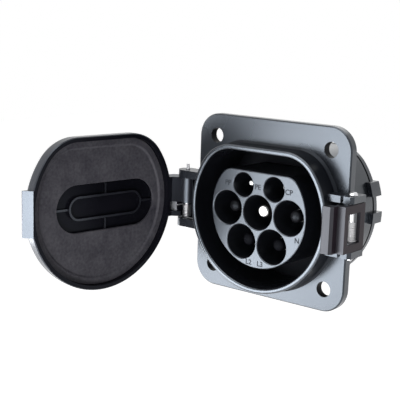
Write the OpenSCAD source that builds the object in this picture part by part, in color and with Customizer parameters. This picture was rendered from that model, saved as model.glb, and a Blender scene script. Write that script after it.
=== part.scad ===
// Charge port inlet with a hinged lid and a sprung latch.
// Built in a face frame, x right, y up and z forward, which front() stands up so that +Z is up
// and the front looks along -Y. The origin is on the earth contact's axis, at the flange's back.

/* [Opening] */
// Radius of the D-shaped opening for the plug
opening_r = 35; // [33:0.5:38]
// Radius of the opening's two upper corners, which sets the height of its flat top
opening_corner = 16.25; // [14.75:0.25:17]
// Width of the groove between the opening and the contact insert
groove_w = 8.8; // [7:0.1:9.5]
// Depth of the groove's floor behind the flange's back
groove_floor = 14; // [10:0.5:18]
// Wall of the collar and of the rear barrel
collar_wall = 2.4; // [1.8:0.1:3]
// Height of the collar's front above the flange's back
collar_front = 15.3; // [14.5:0.1:17]
// Rounding of the collar's front edges
collar_round = 0.9; // [0.4:0.1:1.1]

/* [Flange] */
// Width and height of the square flange
flange_w = 83.8; // [82:0.2:96]
// Thickness of the flange
flange_t = 4.2; // [3.4:0.1:4.6]
// Growth of the flange's corner radius beyond one that is concentric with its hole
corner_more = 0.75; // [0:0.05:2]
// Chamfer of the flange's front edge
flange_chamfer = 0.6; // [0.2:0.1:1]
// Diameter of the four mounting holes
hole_d = 7.2; // [4:0.1:8]
// Distance between neighbouring mounting holes
hole_pitch = 63.1; // [62:0.1:66]
// Distance of the gasket's groove outside the opening
gasket_out = 3.2; // [3:0.1:3.6]
// Width of the gasket
gasket_w = 1.8; // [1:0.1:2]
// Thickness of the gasket
gasket_t = 1.5; // [0.8:0.1:2]

/* [Contacts] */
// Height of the insert's face above the flange's back
insert_front = 13.35; // [11:0.05:14.5]
// Radius of the circle that the line and neutral contacts stand on
contact_circle = 17; // [16.6:0.1:17.4]
// Sideways distance of the two signal contacts from the axis
signal_x = 8.5; // [8:0.1:9]
// Height of the two signal contacts above the axis
signal_y = 11.8; // [11.4:0.1:12]
// Diameter of the five power wells
well_d = 15.8; // [13:0.1:16]
// Diameter of the two signal wells
signal_well_d = 11; // [9:0.1:11.4]
// Depth of the wells behind the insert's face
well_depth = 30; // [26:0.5:31]
// Diameter of the power pins
pin_d = 6; // [5:0.1:7]
// Diameter of the signal pins
signal_pin_d = 3; // [2:0.1:3.4]
// Distance of the power pins' tips behind the insert's face
pin_recess = 4.5; // [2:0.1:9]
// Distance of the proximity pin's tip behind the insert's face
proximity_recess = 6.2; // [3:0.1:11]
// Distance of the pilot pin's tip behind the insert's face
pilot_recess = 9; // [4:0.1:12]
// Length of the touch guard on a live pin
guard_l = 5.6; // [3:0.1:7]

/* [Rear] */
// Length of the barrel behind the flange
barrel_l = 26; // [25.5:0.1:32]
// Room between the screws' heads and the rear cap's floor
screw_room = 1.8; // [1:0.1:3]
// Thickness of the insert's own flange
carrier_flange_t = 3; // [2.5:0.1:4]
// Thickness of the plate that holds the contacts
retainer_t = 3; // [2:0.1:4]
// Length of the contacts' crimp barrels
crimp_l = 11; // [9:0.5:13]
// Shadow gap between barrel and cap
cap_gap = 1.2; // [0.6:0.1:2]
// Length of the cap's rim
cap_rim = 3.8; // [3:0.1:6]
// Radius of the cap's turret
turret_r = 24.5; // [24:0.5:27]
// Length of the cap's turret
turret_l = 10; // [8:0.5:16]
// Wall of the cap
cap_wall = 2.2; // [1.6:0.1:3]
// Diameter of the cable that the outlet takes
cable_d = 17; // [12:0.5:19]
// Length of the cable outlet
outlet_l = 9; // [6:0.5:14]
// Reach of the snap lugs beyond the cap's rim
lug_out = 2.2; // [1.8:0.1:3]

/* [Lid] */
// Angle of the lid at its open stop
open_angle = 99; // [90:1:105]
// Length of skirt behind the collar's front
lid_overlap = 2.3; // [1.5:0.1:2.6]
// Gap between skirt and collar
skirt_gap = 0.5; // [0.4:0.1:0.8]
// Thickness of the skirt
skirt_t = 2.1; // [1.6:0.1:2.4]
// Thickness of the closed lid from rim to outer face
lid_t = 7; // [6.6:0.1:8]
// Rounding of the lid's outer edge
lid_round = 3; // [2:0.1:3.4]
// Gap between the closed seal and the collar
seal_gap = 0.3; // [0.2:0.1:0.5]
// Thickness of the seal at its border
seal_t = 2.2; // [1.8:0.1:2.4]
// Depth of the seal's middle below its border
seal_step = 0.8; // [0.4:0.1:1]
// Length of the obround window in the seal
window_l = 55.6; // [44:0.2:57]
// Width of the obround window in the seal
window_w = 22.4; // [18:0.2:23]
// Length of the stiffening ring in the window
ring_l = 41.6; // [32:0.2:43]
// Width of the stiffening ring in the window
ring_w = 11.4; // [9:0.2:13]
// Height of the catch tab
tab_h = 21; // [16:0.5:21]
// Reach of the catch tab beyond the skirt
tab_reach = 2.1; // [1.6:0.1:2.2]

/* [Hinge] */
// Distance of the hinge axis to the left of the middle
hinge_x = 45.8; // [45.6:0.1:47]
// Height of the hinge axis above the flange's back
hinge_front = 8; // [7.8:0.1:8.1]
// Diameter of the hinge pin
hinge_pin_d = 2; // [1.6:0.1:2.2]
// Diameter of the lid's hinge barrel
knuckle_d = 5.4; // [4.8:0.1:5.6]
// Clear height between the hinge ears
ear_gap = 20; // [19:0.5:22]
// Thickness of each hinge ear
ear_t = 3.8; // [3:0.1:5]
// Radius of the hinge ears' round ends
ear_r = 4.4; // [3.8:0.1:4.5]
// Length of the hinge spring's coil
hinge_coil_l = 6.6; // [5:0.1:7]
// Outer diameter of the hinge spring's coil
hinge_coil_d = 4.3; // [3.9:0.1:4.4]

/* [Latch] */
// Distance of the latch pin to the right of the middle
latch_x = 45.5; // [45.3:0.1:45.8]
// Height of the latch pin above the flange's back
latch_front = 7.2; // [6.8:0.1:7.4]
// Diameter of the latch pin
latch_pin_d = 2; // [1.6:0.1:2.2]
// Height of the latch lever
lever_h = 20.6; // [18:0.2:21]
// Thickness of the lever's side plate
lever_plate = 1.8; // [1.4:0.1:2.2]
// Thickness of each latch ear
latch_ear_t = 3; // [2.4:0.1:4]
// Angle of the pressed lever
press_angle = 20; // [12:1:20]
// Height of the hook's nose above its catch face
nose_t = 4.7; // [3.6:0.1:5]
// Length of the latch spring's coil
latch_coil_l = 8.8; // [6:0.1:9]
// Outer diameter of the latch spring's coil
latch_coil_d = 3.4; // [3.3:0.1:3.8]

/* [Fits] */
// Radial running clearance of a pin in a moving piece
running_gap = 0.05; // [0.02:0.01:0.1]
// Clearance of a piece that is put into another
seat_gap = 0.1; // [0.05:0.01:0.2]
// Clearance between moving pieces
swing_gap = 0.3; // [0.25:0.05:0.4]
// Diameter of the springs' wire
wire_d = 0.55; // [0.4:0.05:0.6]

/* [Hidden] */
$fn = 96;
past = 1;

// Flat steps of a section's round edge, and of a cut that ends inside a wall
arc_steps = 6;
fill_steps = 24;

// Places of the opening's corner arcs, on lines that rise 3 for every 4 across, in whole hundredths
corner_aim = [0.8, 0.6];
corner_angle = atan2(corner_aim.y, corner_aim.x);
corner_out = round(100 * (opening_r - opening_corner)) / 100;
corner_x = corner_out * corner_aim.x;
corner_y = corner_out * corner_aim.y;
wall_r = corner_out + opening_corner;
opening_flat = corner_y + opening_corner;

// Places of the contacts on the insert's face
function on_circle(angle) = [contact_circle * cos(angle), contact_circle * sin(angle)];
earth_at = [0, 0];
line_1_at = on_circle(180);
line_2_at = on_circle(240);
line_3_at = on_circle(300);
neutral_at = on_circle(0);
proximity_at = [-signal_x, signal_y];
pilot_at = [signal_x, signal_y];
power_at = [earth_at, line_1_at, line_2_at, line_3_at, neutral_at];
signal_at = [proximity_at, pilot_at];

// Levels along z of the rear cap, and of what lies between its floor and the groove
well_floor = insert_front - well_depth;
cap_front = -barrel_l - cap_gap;
cap_back = cap_front - cap_rim;
turret_back = cap_back - turret_l;
outlet_back = turret_back - outlet_l;
screw_head_t = 2;
screw_back = cap_back + cap_wall + screw_room;
retainer_back = screw_back + screw_head_t;
carrier_back = retainer_back + retainer_t;
web_back = carrier_back + carrier_flange_t;
web_t = -groove_floor - web_back;
contact_collar_t = 2.4;
contact_seat = carrier_back + contact_collar_t;
crimp_back = carrier_back - crimp_l;

// Flange
flange_corner = (flange_w - hole_pitch) / 2 + corner_more;

// Tips of the power contacts
guard_stem_r = pin_d / 5;
guard_step = 0.2;
guard_head_r = pin_d / 2 - guard_step;
guard_dome = 2 * guard_head_r / 3;
guard_root = insert_front - pin_recess - 2 * guard_l;
pin_tip = insert_front - pin_recess;
live_tip = pin_tip - guard_l;

// Insert, its flange and its screws
insert_grow = -groove_w;
insert_round = 0.6;
carrier_flange_grow = -3.2;
screw_inset = 2.6;
screw_circle = opening_r + carrier_flange_grow - screw_inset;
screw_angles = [20, 160, 218, 322];
screw_r = 1.5;
screw_head_r = 2.4;
screw_depth = 0.72 * web_t;
screw_socket = 0.8;
screw_socket_depth = 0.6;
pin_shoulder = 0.6;
pin_bevel = 0.7;
collar_step = 1;
crimp_step = 0.4;
crimp_wall = 1.1;
well_lead = 0.4;

// Rear cap, its spigot, seal and lugs
spigot_grow = -0.3;
spigot_wall = 1.8;
spigot_l = 6;
seal_ring_w = 1.2;
seal_ring_l = 1.8;
groove_ahead = 2;
groove_back = cap_front + groove_ahead;
cap_round = 1.5;
lug_reach = 3.2;
lug_front = lug_reach - barrel_l;
lug_tip = 0.6;
lug_spans = [[8, 14.5], [-4.6, 0.5]];
catch_h = 1;
catch_l = 1.6;
catch_margin = 1.6;
outlet_wall = 2.5;
grommet_lip_t = 2;

// Closed lid, from the rim to the outer face, and from the opening's wall outwards
lid_rim = collar_front - lid_overlap;
lid_front = lid_rim + lid_t;
skirt_in = collar_wall + skirt_gap;
skirt_out = skirt_in + skirt_t;
rim_chamfer = 0.4;
seal_face = collar_front + seal_gap;
seal_back = seal_face + seal_t;
seal_middle = seal_face + seal_step;
seal_border_in = -0.2;
pocket_skin = 1.4;
pocket_floor = lid_front - pocket_skin;
ring_wall = 1;
ring_drop = 0.5;
ring_front = seal_middle + ring_drop;
rib_root = 0.2;
rib_front = seal_back - rib_root;
window_at = [-3.4, -1];

// Catch tab of the lid and hook of the latch
tab_out = opening_r + skirt_out + tab_reach;
root_in = 0.3;
tab_root = opening_r + skirt_in + root_in;
tab_ramp = 3.4;
tab_t = 4;
tab_front = lid_rim + tab_t;
hook_catch = tab_front + swing_gap;
nose_front = hook_catch + nose_t;
hook_gap = 0.4;
hook_in = opening_r + skirt_out + hook_gap;
nose_lean = 1.3;
nose_in = hook_in - nose_lean;
nose_w = 5.4;
nose_out = nose_in + nose_w;
nose_bevel = 1.2;
nose_edge = 0.6;
bar_gap = 0.5;
bar_in = tab_out + bar_gap;
bar_t = 2.6;
bar_back = hook_catch - bar_t;
plate_side = 2.7;
plate_out = latch_x + plate_side;
plate_in = plate_out - lever_plate;
lever_back = 0.8;
tail_in = plate_in - (latch_front - lever_back) * sin(press_angle) - swing_gap;
shoulder_rise = 0.3;
lever_front = hook_catch + shoulder_rise;
lever_knuckle_r = 2.2;
knuckle_skin = 0.5;
lever_window_l = 10.1;
lever_window_low = -6.9;
lever_window_high = 6.5;

// Ears of the housing
collar_out = opening_r + collar_wall;
ear_overlap = 2;
ear_root = opening_r - ear_overlap;
collar_fillet = 1;
ear_low = ear_gap / 2;
ear_high = ear_low + ear_t;
latch_ear_low = lever_h / 2 + swing_gap;
latch_ear_high = latch_ear_low + latch_ear_t;
latch_ear_inset = 0.2;
latch_ear_out = plate_out - latch_ear_inset;
latch_ear_drop = 1.3;
latch_ear_front = lid_rim - latch_ear_drop;
notch_w = 1.6;
notch_side = 2;
notch_out = latch_x - notch_side;
latch_ear_bevel = 1.4;
latch_ear_back = 0.4;
latch_pin_head_r = 2;
latch_pin_head_t = 0.9;
latch_pin_dome_t = 0.6;
latch_pin_dome_r = 1.4;
stop_gap = 0.75;
stop_front = hinge_front - knuckle_d / 2 - stop_gap;
stop_back = 0.8;
stop_side = 2.5;
stop_out = hinge_x + stop_side;

// Lid's hinge barrel and arm
knuckle_r = knuckle_d / 2;
knuckle_high = ear_low - swing_gap;
coil_room = 0.2;
knuckle_low = -ear_low + hinge_coil_l + 2 * swing_gap + coil_room;
arm_root = hinge_x - opening_r - skirt_in - root_in;
arm_rim = lid_rim - hinge_front;
arm_low = arm_rim + 0.2;
arm_foot = arm_rim + 0.4;
arm_drop = 0.5;
arm_front = lid_front - hinge_front - arm_drop;
arm_leg = knuckle_r - 0.4;
arm_plate = 1.9;
arm_rib_high = -7.2;
spring_gap = 0.9;
spring_room = hinge_coil_d / 2 + spring_gap;
block_in = 3.4;
block_rise = 0.6;
prong_l = 2.6;
prong_r = 0.4;
prong_side = 0.5;
prong_tilt = 16;
pin_tail = 1.3;

// Wire springs
wire_r = wire_d / 2;
wire_sides = 6;
turn_steps = 14;
end_rise = 0.1;
hinge_turns = 8.25;
hinge_leg_gap = 0.2;
hinge_leg = 5.5;
latch_turns = 10.5;
latch_back_leg = -2.4;
latch_side_leg = -3;

// Stands the face frame up
module front() { rotate([90, 0, 0]) children(); }

// Extrudes an outline of the face between two levels along z
module level(back, ahead) { translate([0, 0, back]) linear_extrude(ahead - back) children(); }

// Extrudes an outline drawn in x and z between two heights
module upright(low, high) {
    translate([0, high, 0]) rotate([90, 0, 0]) linear_extrude(high - low) children();
}

// Swings a closed lid to its open stop
module opened() {
    translate([-hinge_x, 0, hinge_front])
        rotate([0, -open_angle, 0])
            translate([hinge_x, 0, -hinge_front]) children();
}

// Points of an arc about a centre, from one angle to another
function arc(centre, r, from, to, steps = arc_steps) = [for (i = [0:steps])
    let (a = from + (to - from) * i / steps) centre + r * [cos(a), sin(a)]];

// D outline with flat steps, for a cut that ends inside a wall
module d_fill(grow) {
    r = opening_corner + grow;
    polygon(concat(arc([0, 0], wall_r + grow, 180 - corner_angle, 360 + corner_angle, fill_steps),
        arc([corner_x, corner_y], r, corner_angle, 90),
        arc([-corner_x, corner_y], r, 90, 180 - corner_angle)));
}

// Solid with a D outline, whose wall follows points of growth and level from its back to its front
module d_solid(wall) {
    last = len(wall) - 1;
    back = wall[0].y;
    ahead = wall[last].y;
    widest = max([for (point = wall) point.x]);
    far = widest + wall_r - opening_flat + 2 * past;
    difference() {
        translate([0, 0, back]) cylinder(r = wall_r + widest + past, h = ahead - back);
        d_sweep() polygon(concat([[wall[0].x, back - past]], wall, [[wall[last].x, ahead + past],
            [far, ahead + past], [far, back - past]]));
    }
}

// Sweeps a section round the D, x outwards from the opening's wall and y forward
module d_sweep() {
    reach = 5 * ceil(opening_r);
    wedge = reach * corner_aim;
    difference() {
        rotate_extrude() translate([wall_r, 0]) children();
        level(-reach, reach) polygon([[0, 0], wedge, [0, 2 * reach], [-wedge.x, wedge.y]]);
    }
    both_sides() translate([corner_x, corner_y, 0]) intersection() {
        rotate_extrude() translate([opening_corner, 0]) children();
        level(-reach, reach) polygon([[0, 0], wedge, [0, reach]]);
    }
    translate([-corner_x, opening_flat, 0]) rotate([90, 0, 90])
        linear_extrude(2 * corner_x) children();
}

module both_sides() { for (side = [0, 1]) mirror([side, 0, 0]) children(); }

// Round-ended slot outline, given its overall length and width
module obround(l, w) {
    square([l - w, w], center = true);
    for (side = [-1, 1]) translate([side * (l - w) / 2, 0]) circle(d = w);
}

// Square plate with round corners and a chamfered front edge
module plate(w, t, r, chamfer) {
    inner = w / 2 - r;
    for (turn = [0, 90]) rotate([0, 0, turn]) rotate([90, 0, 0])
        linear_extrude(2 * inner, center = true)
            polygon([[-w / 2, 0], [w / 2, 0], [w / 2, t - chamfer], [w / 2 - chamfer, t],
                [chamfer - w / 2, t], [-w / 2, t - chamfer]]);
    for (x = [-inner, inner], y = [-inner, inner]) translate([x, y, 0]) {
        cylinder(r = r, h = t - chamfer);
        translate([0, 0, t - chamfer]) cylinder(r1 = r, r2 = r - chamfer, h = chamfer);
    }
}

// Tube of a wire along points, whose path never runs along y
function unit(v) = v / norm(v);
module wire(path) {
    count = len(path);
    rings = [for (i = [0:count - 1])
        let (along = unit(path[min(i + 1, count - 1)] - path[max(i - 1, 0)]),
            side = unit(cross(along, [0, 1, 0])), lift = cross(side, along))
            for (k = [0:wire_sides - 1]) let (a = 360 * k / wire_sides)
                path[i] + wire_r * (cos(a) * side + sin(a) * lift)];
    walls = [for (i = [0:count - 2], k = [0:wire_sides - 1])
        let (next = (k + 1) % wire_sides, here = i * wire_sides, there = here + wire_sides)
            for (half = [[here + k, here + next, there + next], [here + k, there + next, there + k]])
                half];
    ends = [[for (k = [wire_sides - 1:-1:0]) k],
        [for (k = [0:wire_sides - 1]) (count - 1) * wire_sides + k]];
    polyhedron(rings, faces = concat(walls, ends), convexity = 6);
}

// Points of a coil about y, from one height to another
function coil(r, low, high, turns, start) = [for (i = [0:round(turns * turn_steps)])
    let (a = start + 360 * i / turn_steps, rise = i / round(turns * turn_steps))
        [r * cos(a), low + (high - low) * rise, r * sin(a)]];

// Ear outlines in x and z
module hinge_ear() {
    translate([-hinge_x, hinge_front]) circle(ear_r);
    translate([-hinge_x, hinge_front - ear_r]) square([hinge_x - ear_root, 2 * ear_r]);
}

module latch_ear() {
    difference() {
        polygon([[ear_root, latch_ear_back], [latch_ear_out, latch_ear_back],
            [latch_ear_out, latch_ear_front - latch_ear_bevel],
            [latch_ear_out - latch_ear_bevel, latch_ear_front], [ear_root, latch_ear_front]]);
        translate([notch_out - notch_w, latch_ear_front - latch_ear_bevel])
            square([notch_w, latch_ear_bevel + past]);
    }
}

// Arc-shaped piece of a ring on the right side, between two heights
module lug_piece(inner, outer, span, back, ahead) {
    intersection() {
        level(back, ahead) difference() { circle(outer); circle(inner); }
        translate([0, span[0], back - past])
            cube([2 * outer, span[1] - span[0], ahead - back + 2 * past]);
    }
}

// Catch on the barrel under a lug, grown by a gap to make the lug's pocket
module lug_catches(gap) {
    ahead = lug_front - lug_tip;
    for (span = lug_spans)
        lug_piece(collar_out - past, collar_out + catch_h + gap,
            span + [catch_margin - gap, gap - catch_margin], ahead - catch_l - gap, ahead + gap);
}

// Section of the collar, the rear barrel and the wall that carries the insert
module housing_section() {
    edge = collar_front - collar_round;
    polygon(concat([[0, -barrel_l], [collar_wall, -barrel_l], [collar_wall, flange_t / 2],
        [collar_wall + collar_fillet, flange_t / 2], [collar_wall + collar_fillet, flange_t],
        [collar_wall, flange_t + collar_fillet]],
        arc([collar_wall - collar_round, edge], collar_round, 0, 90),
        arc([collar_round, edge], collar_round, 90, 180),
        [[0, -groove_floor], [insert_grow + seat_gap, -groove_floor],
        [insert_grow + seat_gap, web_back], [0, web_back]]));
}

// Room for the pressed lever's tail, which a wide flange would reach into
module tail_room() {
    upright(-latch_ear_low, latch_ear_low)
        translate([tail_in, -past]) square([flange_w, flange_t + 2 * past]);
}

// Flange, ears and the lid's stop, cut away inside the collar's wall
module housing_outworks() {
    difference() {
        union() {
            difference() {
                plate(flange_w, flange_t, flange_corner, flange_chamfer);
                tail_room();
            }
            for (low = [ear_low, -ear_high]) upright(low, low + ear_t) hinge_ear();
            upright(-ear_low - past, ear_low + past)
                translate([-stop_out, stop_back]) square([stop_out - ear_root, stop_front - stop_back]);
            for (low = [latch_ear_low, -latch_ear_high]) upright(low, low + latch_ear_t) latch_ear();
        }
        level(-past, collar_front) d_fill(collar_wall / 2);
    }
}

module housing() {
    color("#2b2d31") front() difference() {
        union() {
            d_sweep() housing_section();
            housing_outworks();
            both_sides() lug_catches(0);
        }
        for (x = [-1, 1], y = [-1, 1]) translate([x * hole_pitch / 2, y * hole_pitch / 2, -past])
            cylinder(d = hole_d, h = flange_t + 2 * past);
        d_sweep() translate([gasket_out, -past]) square([gasket_w, gasket_t + past]);
        for (angle = screw_angles) rotate([0, 0, angle]) translate([screw_circle, 0, web_back - past])
            cylinder(r = screw_r + seat_gap / 2, h = screw_depth + seat_gap + past);
        upright(-ear_high - past, ear_high + past)
            translate([-hinge_x, hinge_front]) circle(hinge_pin_d / 2 + seat_gap / 2);
        upright(-latch_ear_high - past, latch_ear_high + past)
            translate([latch_x, latch_front]) circle(latch_pin_d / 2 + seat_gap / 2);
    }
}

module flange_gasket() {
    color("#1c1c1e") front() d_sweep()
        translate([gasket_out + seat_gap / 2, 0]) square([gasket_w - seat_gap, gasket_t]);
}

module contact_carrier() {
    color("#33363b") front() difference() {
        d_solid(concat([[carrier_flange_grow, carrier_back], [carrier_flange_grow, web_back],
            [insert_grow, web_back]],
            arc([insert_grow - insert_round, insert_front - insert_round], insert_round, 0, 90)));
        for (at = power_at) contact_room(at, well_d, pin_d);
        for (at = signal_at) contact_room(at, signal_well_d, signal_pin_d);
        screw_holes(carrier_back, web_back);
    }
}

// Well, pin hole and collar seat of one contact
module contact_room(at, well, pin) {
    translate([at.x, at.y, 0]) {
        translate([0, 0, well_floor]) cylinder(d = well, h = well_depth + past);
        translate([0, 0, insert_front - well_lead])
            cylinder(d1 = well, d2 = well + 2 * well_lead, h = well_lead);
        translate([0, 0, carrier_back - past])
            cylinder(r = pin / 2 + pin_shoulder + seat_gap, h = well_floor - carrier_back + 2 * past);
        translate([0, 0, carrier_back - past])
            cylinder(r = contact_collar_r(pin) + seat_gap, h = contact_collar_t + past);
    }
}

function contact_collar_r(pin) = pin / 2 + pin_shoulder + collar_step;
function crimp_r(pin) = pin / 2 + pin_shoulder + crimp_step;

// Holes for the screws that hold retainer and carrier
module screw_holes(back, ahead) {
    for (angle = screw_angles) rotate([0, 0, angle]) translate([screw_circle, 0, back - past])
        cylinder(r = screw_r + seat_gap, h = ahead - back + 2 * past);
}

// Contact turned from bar: crimp barrel, collar, shoulder and shaft
module contact(at, pin, tip, guarded) {
    shaft_r = pin / 2;
    bevel = guarded ? 0 : min(pin_bevel, shaft_r / 3);
    color("#d0d3d6") front() translate([at.x, at.y, 0]) difference() {
        rotate_extrude() polygon([[0, crimp_back], [crimp_r(pin), crimp_back],
            [crimp_r(pin), carrier_back], [contact_collar_r(pin), carrier_back],
            [contact_collar_r(pin), contact_seat], [shaft_r + pin_shoulder, contact_seat],
            [shaft_r + pin_shoulder, well_floor + pin_shoulder], [shaft_r, well_floor + pin_shoulder],
            [shaft_r, tip - bevel], [shaft_r - bevel, tip], [0, tip]]);
        translate([0, 0, crimp_back - past])
            cylinder(r = crimp_r(pin) - crimp_wall, h = crimp_l - retainer_t + past);
        if (guarded) translate([0, 0, guard_root]) cylinder(r = guard_stem_r, h = guard_l + past);
    }
}

module line_1_pin() { contact(line_1_at, pin_d, live_tip, true); }
module line_2_pin() { contact(line_2_at, pin_d, live_tip, true); }
module line_3_pin() { contact(line_3_at, pin_d, live_tip, true); }
module neutral_pin() { contact(neutral_at, pin_d, live_tip, true); }
module earth_pin() { contact(earth_at, pin_d, pin_tip, false); }
module proximity_pin() {
    contact(proximity_at, signal_pin_d, insert_front - proximity_recess, false);
}
module pilot_pin() { contact(pilot_at, signal_pin_d, insert_front - pilot_recess, false); }

// Dark, domed touch guard pressed into the end of a live contact
module touch_guard(at) {
    stem_r = guard_stem_r - seat_gap / 2;
    dome = [for (point = arc([0, 0], 1, 0, 90))
        [guard_head_r * point.x, pin_tip - guard_dome * (1 - point.y)]];
    color("#242529") front() translate([at.x, at.y, 0]) rotate_extrude()
        polygon(concat([[0, guard_root + seat_gap], [stem_r, guard_root + seat_gap], [stem_r, live_tip],
            [guard_head_r, live_tip]], dome));
}

module line_1_tip() { touch_guard(line_1_at); }
module line_2_tip() { touch_guard(line_2_at); }
module line_3_tip() { touch_guard(line_3_at); }
module neutral_tip() { touch_guard(neutral_at); }

module contact_retainer() {
    color("#3a3d42") front() difference() {
        d_solid([[carrier_flange_grow, retainer_back], [carrier_flange_grow, carrier_back]]);
        for (at = power_at) retainer_hole(at, pin_d);
        for (at = signal_at) retainer_hole(at, signal_pin_d);
        screw_holes(retainer_back, carrier_back);
    }
}

module retainer_hole(at, pin) {
    translate([at.x, at.y, retainer_back - past])
        cylinder(r = crimp_r(pin) + seat_gap, h = retainer_t + 2 * past);
}

module retainer_screws() {
    color("#b9bdc2") front() for (angle = screw_angles)
        rotate([0, 0, angle]) translate([screw_circle, 0, 0]) difference() {
            union() {
                translate([0, 0, retainer_back])
                    cylinder(r = screw_r, h = web_back + screw_depth - retainer_back);
                translate([0, 0, screw_back]) cylinder(r = screw_head_r, h = screw_head_t);
            }
            translate([0, 0, screw_back - past])
                cylinder(r = screw_r * screw_socket, h = screw_head_t * screw_socket_depth + past, $fn = 6);
        }
}

module rear_seal_ring() {
    color("#1c1c1e") front() d_sweep()
        translate([spigot_grow - seal_ring_w + seat_gap / 2, groove_back + seat_gap / 2])
            square([seal_ring_w - spigot_grow - seat_gap, seal_ring_l - seat_gap]);
}

module rear_cap() {
    color("#2b2d31") front() difference() {
        union() {
            d_solid(concat(arc([collar_wall - cap_round, cap_back + cap_round], cap_round, -90, 0),
                [[collar_wall, cap_front], [spigot_grow, cap_front], [spigot_grow, groove_back],
                [spigot_grow - seal_ring_w, groove_back],
                [spigot_grow - seal_ring_w, groove_back + seal_ring_l],
                [spigot_grow, groove_back + seal_ring_l], [spigot_grow, cap_front + spigot_l]]));
            translate([0, 0, turret_back]) cylinder(r = turret_r, h = turret_l + past);
            translate([0, 0, outlet_back])
                cylinder(r = cable_d / 2 + 2 * outlet_wall, h = outlet_l + past);
            both_sides() for (span = lug_spans) {
                lug_piece(collar_out - past, collar_out + lug_out, span, cap_back, cap_front);
                lug_piece(collar_out + seat_gap, collar_out + lug_out, span, cap_front - past, lug_front);
            }
        }
        translate([0, 0, turret_back + cap_wall])
            cylinder(r = turret_r - cap_wall, h = turret_l + cap_rim + past);
        d_solid([[spigot_grow - spigot_wall, cap_back + cap_wall],
            [spigot_grow - spigot_wall, cap_front + spigot_l + past]]);
        translate([0, 0, outlet_back - past])
            cylinder(r = cable_d / 2 + outlet_wall, h = outlet_l + cap_wall + 2 * past);
        both_sides() lug_catches(seat_gap);
    }
}

module outlet_grommet() {
    color("#1c1c1e") front() difference() {
        union() {
            translate([0, 0, outlet_back])
                cylinder(r = cable_d / 2 + outlet_wall - seat_gap / 2, h = outlet_l + cap_wall);
            translate([0, 0, outlet_back - grommet_lip_t])
                cylinder(r = cable_d / 2 + 2 * outlet_wall, h = grommet_lip_t);
        }
        translate([0, 0, outlet_back - grommet_lip_t - past])
            cylinder(d = cable_d, h = outlet_l + cap_wall + grommet_lip_t + 2 * past);
    }
}

module hinge_pin() {
    color("#c4c8cc") front() translate([-hinge_x, 0, hinge_front]) {
        rotate([-90, 0, 0]) translate([0, 0, -ear_high - pin_tail])
            cylinder(d = hinge_pin_d, h = 2 * ear_high + pin_tail + prong_r);
        for (side = [-1, 1]) translate([side * prong_side, ear_high, 0])
            rotate([-90, side * prong_tilt, 0]) cylinder(r = prong_r, h = prong_l);
    }
}

module hinge_spring() {
    r = hinge_coil_d / 2 - wire_r;
    low = -ear_low + wire_r + end_rise;
    high = low + hinge_coil_l - wire_d;
    housing_leg = hinge_x - collar_out - hinge_leg_gap;
    turns = coil(r, low, high, hinge_turns, 90);
    color("#c9ccd0") front() translate([-hinge_x, 0, hinge_front])
        wire(concat([[housing_leg, low, r]], turns, [turns[len(turns) - 1] + [0, end_rise, hinge_leg]]));
}

module latch_pin() {
    color("#d0d3d6") front() translate([latch_x, 0, latch_front]) rotate([-90, 0, 0]) {
        translate([0, 0, -latch_ear_high - pin_tail])
            cylinder(d = latch_pin_d, h = 2 * latch_ear_high + pin_tail);
        translate([0, 0, latch_ear_high]) cylinder(r = latch_pin_head_r, h = latch_pin_head_t);
        translate([0, 0, latch_ear_high + latch_pin_head_t])
            cylinder(r1 = latch_pin_head_r, r2 = latch_pin_dome_r, h = latch_pin_dome_t);
    }
}

module latch_spring() {
    r = latch_coil_d / 2 - wire_r;
    low = lever_window_low + wire_r + swing_gap;
    high = low + latch_coil_l - wire_d;
    turns = coil(r, low, high, latch_turns, 0);
    color("#c9ccd0") front() translate([latch_x, 0, latch_front])
        wire(concat([[r, low, latch_back_leg]], turns,
            [turns[len(turns) - 1] + [0, end_rise, latch_side_leg]]));
}

// Stiffening ring and its four ribs, in the lid's pocket
module window_ribs() {
    translate([window_at.x, window_at.y, 0]) {
        level(ring_front, pocket_floor + rib_root) difference() {
            obround(ring_l, ring_w);
            obround(ring_l - 2 * ring_wall, ring_w - 2 * ring_wall);
        }
        level(rib_front, pocket_floor + rib_root) difference() {
            intersection() {
                obround(window_l, window_w);
                union() {
                    square([window_l, ring_wall], center = true);
                    square([ring_wall, window_w], center = true);
                }
            }
            obround(ring_l - ring_wall, ring_w - ring_wall);
        }
    }
}

// Arm outlines in x and z from the hinge axis, for the closed lid
module arm_outline() {
    polygon([[-knuckle_r, 0], [-knuckle_r, arm_front - arm_leg], [arm_leg - knuckle_r, arm_front],
        [arm_root, arm_front], [arm_root, arm_low], [arm_foot, arm_low],
        [knuckle_r * cos(45), knuckle_r * sin(45)], [0, 0]]);
}

module arm_bracket() {
    polygon([[-knuckle_r, spring_room], [-knuckle_r, arm_front - arm_leg],
        [arm_leg - knuckle_r, arm_front], [arm_root, arm_front], [arm_root, arm_front - arm_plate],
        [block_in, arm_front - arm_plate], [block_in, spring_room + block_rise]]);
}

module lid_arm() {
    translate([-hinge_x, 0, hinge_front]) difference() {
        union() {
            upright(knuckle_low, knuckle_high) {
                circle(knuckle_r);
                arm_outline();
            }
            upright(-knuckle_high, knuckle_low) arm_bracket();
            upright(-knuckle_high, arm_rib_high) difference() {
                arm_outline();
                circle(spring_room);
            }
        }
        upright(knuckle_low - past, knuckle_high + past) circle(hinge_pin_d / 2 + running_gap);
    }
}

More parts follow.
